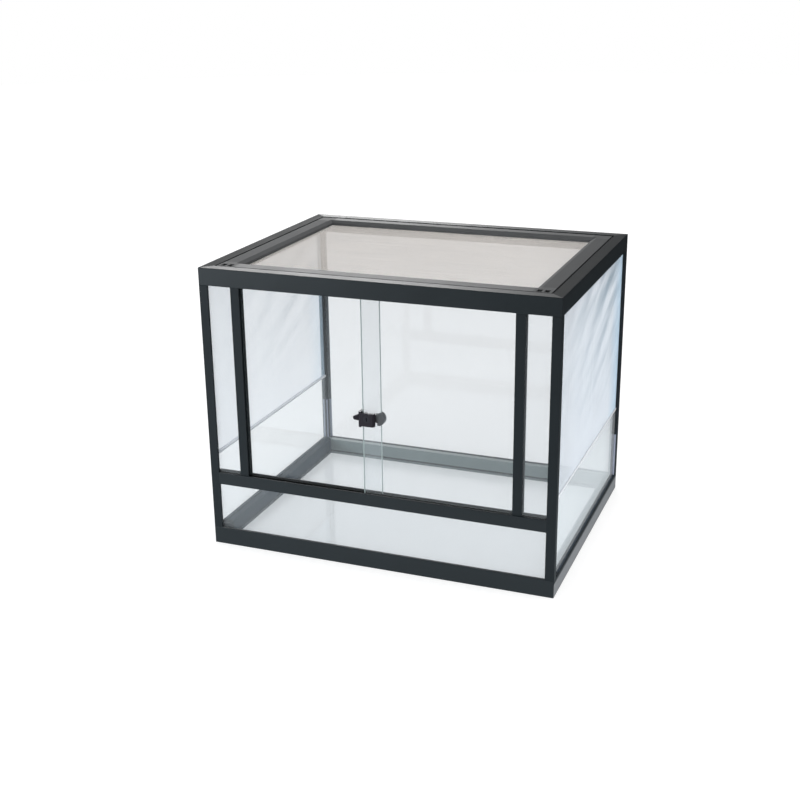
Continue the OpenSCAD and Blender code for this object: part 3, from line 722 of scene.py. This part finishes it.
class TERRARIUM_OT_side_screens(bpy.types.Operator):
    """Weave the two side screens"""
    bl_idname = "terrarium.weave_side_screens"
    bl_label = "Weave Side Screens"
    bl_options = {"REGISTER", "UNDO"}

    def execute(self, context):
        finish = screen_wire("side_screen_wire", colours().side_wire, SIDE_THREADS,
                             colours().crease_shade_and_edge)
        group = wire_screen_group()
        quarter = math.radians(90)
        upright = Matrix.Rotation(quarter, 4, "Z") @ Matrix.Rotation(quarter, 4, "X")
        for seed, side in ((3.0, "left"), (4.0, "right")):
            node = f"side_{side}_screen"
            low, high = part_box(node)
            extent = high - low
            mesh = mesh_of_group(node + "_cloth", group, {
                "Width": extent.y, "Height": extent.z, "Pitch": sizes().side_pitch,
                "Wire": sizes().side_wire, "Ripple": sizes().side_ripple,
                "Seed": seed, "Finish": finish})
            mesh.transform(Matrix.Translation((low + high) / 2) @ upright)
            piece_from(node + "_cloth", mesh, body_of(node), [], (node,))
        return {"FINISHED"}


class TERRARIUM_OT_lid_screen(bpy.types.Operator):
    """Weave the screen of the lid"""
    bl_idname = "terrarium.weave_lid_screen"
    bl_label = "Weave Lid Screen"
    bl_options = {"REGISTER", "UNDO"}

    def execute(self, context):
        low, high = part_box("lid_screen")
        extent = high - low
        mesh = mesh_of_group("lid_screen_cloth", wire_screen_group(), {
            "Width": extent.x, "Height": extent.y, "Pitch": sizes().lid_pitch,
            "Wire": sizes().lid_wire, "Ripple": sizes().lid_ripple, "Seed": 8.0,
            "Finish": screen_wire("lid_screen_wire", colours().lid_wire, LID_THREADS)})
        mesh.transform(Matrix.Translation((low + high) / 2))
        piece_from("lid_screen_cloth", mesh, body_of("lid_screen"), [],
                   ("lid_screen",))
        return {"FINISHED"}


class TERRARIUM_OT_stage(bpy.types.Operator):
    """Set up the pale floor, the white surroundings, the lamps and the camera"""
    bl_idname = "terrarium.set_stage"
    bl_label = "Set Stage"
    bl_options = {"REGISTER", "UNDO"}

    def execute(self, context):
        self.make_floor()
        self.make_world()
        self.make_lamps()
        self.make_camera()
        context.scene.view_settings.view_transform = "Standard"
        context.scene.cycles.transparent_max_bounces = CLEAR_FACES
        return {"FINISHED"}

    def make_floor(self):
        """A pale floor; in reflections it darkens away from the object and to the right."""
        shape = bmesh.new()
        bmesh.ops.create_circle(shape, cap_ends=True, segments=64, radius=FLOOR_RADIUS)
        bmesh.ops.translate(shape, vec=(0, 0, -FLOOR_DROP), verts=shape.verts)
        mesh = mesh_from(shape, "studio_floor")
        floor = add_object("studio_floor", mesh)
        mat = Material("studio_floor")
        place = mat.add("ShaderNodeTexCoord", output="Object")
        away = mat.add("ShaderNodeVectorMath", {"operation": "LENGTH"}, {0: place}, "Value")
        right, _, _ = mat.split(place)
        pale = mat.clamp(FLOOR_REACH - away - FLOOR_LEAN * right, DARKEST, FLOOR_PALEST)
        plain = mat.add("ShaderNodeBsdfDiffuse", None, {"Color": colours().floor})
        glow = mat.add("ShaderNodeEmission", None, {"Strength": FLOOR_GLOW})
        glowing = mat.add("ShaderNodeAddShader", None, {0: plain, 1: glow})
        dark, light = (mat.add("ShaderNodeEmission", None,
                               {"Color": colours().floor_mirrored, "Strength": strength})
                       for strength in (0.0, 1.0))
        mesh.materials.append(mat.finish(
            mat.blend(mat.mirrored(), mat.blend(mat.seen(), plain, glowing),
                      mat.blend(pale, dark, light))))

    def make_world(self):
        """Even light, white to the eye; reflections show white behind the object, else dark."""
        world = bpy.data.worlds.new("studio")
        bpy.context.scene.world = world
        world.use_nodes = True
        tree = Tree(world.node_tree)
        towards = tree.add("ShaderNodeVectorMath", {"operation": "DOT_PRODUCT"},
                           {0: tree.add("ShaderNodeTexCoord", output="Generated"),
                            1: Vector(BACKDROP_TOWARDS).normalized()}, "Value")
        bright = tree.clamp(1.0 - BACKDROP_FALL * (1.0 - towards), DARKEST, 1.0)
        dark, plain, white = (tree.add("ShaderNodeBackground", None,
                                       {"Color": (1.0, 1.0, 1.0), "Strength": strength})
                              for strength in (0.0, AMBIENT, 1.0))
        unseen = tree.blend(tree.mirrored(), plain, tree.blend(bright, dark, white))
        tree.add("ShaderNodeOutputWorld", None,
                 {"Surface": tree.blend(tree.seen(), unseen, white)})

    def make_lamps(self):
        """A large back light, a cool front light and a low fill that reflections leave out."""
        self.lamp("back_left_softbox", place=(-4.25, 8.85, 3.45), target=(0, 0, 0.5),
                  width=2.8, height=0.7, power=135)
        cool = self.lamp("front_left_softbox", place=(-1.35, -1.65, 0.475),
                         target=(-0.2, 0, 0.3), width=1.2, height=0.3, power=17)
        cool.data.color = colours().front_light
        fill = self.lamp("right_low_fill", place=(0.95, -0.3, 0.1), target=(0.3, 0, 0.08),
                         width=0.7, height=0.15, power=2.4)
        fill.visible_glossy = False

    def lamp(self, name, place, target, width, height, power):
        """A rectangular softbox at a place, facing a target, that the camera doesn't see."""
        data = bpy.data.lights.new(name, "AREA")
        data.shape = "RECTANGLE"
        data.size = width
        data.size_y = height
        data.energy = power
        lamp = add_object(name, data)
        lamp.location = place
        facing = Vector(target) - Vector(place)
        lamp.rotation_euler = facing.to_track_quat("-Z", "Y").to_euler()
        lamp.visible_camera = False
        lamp.visible_transmission = False
        return lamp

    def make_camera(self):
        """A camera at its place, turned by its azimuth, elevation and roll."""
        data = bpy.data.cameras.new("camera")
        data.sensor_width = CAMERA_SENSOR
        data.lens = CAMERA_LENS
        camera = add_object("camera", data)
        camera.location = CAMERA_PLACE
        turn = Matrix.Rotation(math.radians(CAMERA_AZIMUTH), 4, "Z") \
            @ Matrix.Rotation(math.radians(90 - CAMERA_ELEVATION), 4, "X") \
            @ Matrix.Rotation(math.radians(CAMERA_ROLL), 4, "Z")
        camera.rotation_euler = turn.to_euler()
        bpy.context.scene.camera = camera


OPERATORS = (TERRARIUM_OT_frame, TERRARIUM_OT_mouldings, TERRARIUM_OT_rail_plugs,
             TERRARIUM_OT_lock, TERRARIUM_OT_glass, TERRARIUM_OT_side_screens,
             TERRARIUM_OT_lid_screen, TERRARIUM_OT_stage)


class TERRARIUM_PT_panel(bpy.types.Panel):
    """Sidebar panel with the sizes, the colours and one button for each step"""
    bl_idname = "TERRARIUM_PT_panel"
    bl_label = "Terrarium"
    bl_space_type = "VIEW_3D"
    bl_region_type = "UI"
    bl_category = "Terrarium"

    def draw(self, context):
        for group in (sizes(), colours()):
            for name in type(group).__annotations__:
                self.layout.prop(group, name)
        for operator in OPERATORS:
            self.layout.operator(operator.bl_idname)


CLASSES = (TerrariumSizes, TerrariumColours, *OPERATORS, TERRARIUM_PT_panel)


def register():
    for cls in CLASSES:
        bpy.utils.register_class(cls)
    bpy.types.Scene.terrarium_sizes = PointerProperty(type=TerrariumSizes)
    bpy.types.Scene.terrarium_colours = PointerProperty(type=TerrariumColours)


def unregister():
    del bpy.types.Scene.terrarium_colours
    del bpy.types.Scene.terrarium_sizes
    for cls in reversed(CLASSES):
        bpy.utils.unregister_class(cls)


def run(operator):
    """Calls an operator by its id, as its button does."""
    group, name = operator.bl_idname.split(".")
    getattr(getattr(bpy.ops, group), name)()


def main():
    register()
    for operator in OPERATORS:
        run(operator)


if __name__ == "__main__":
    main()
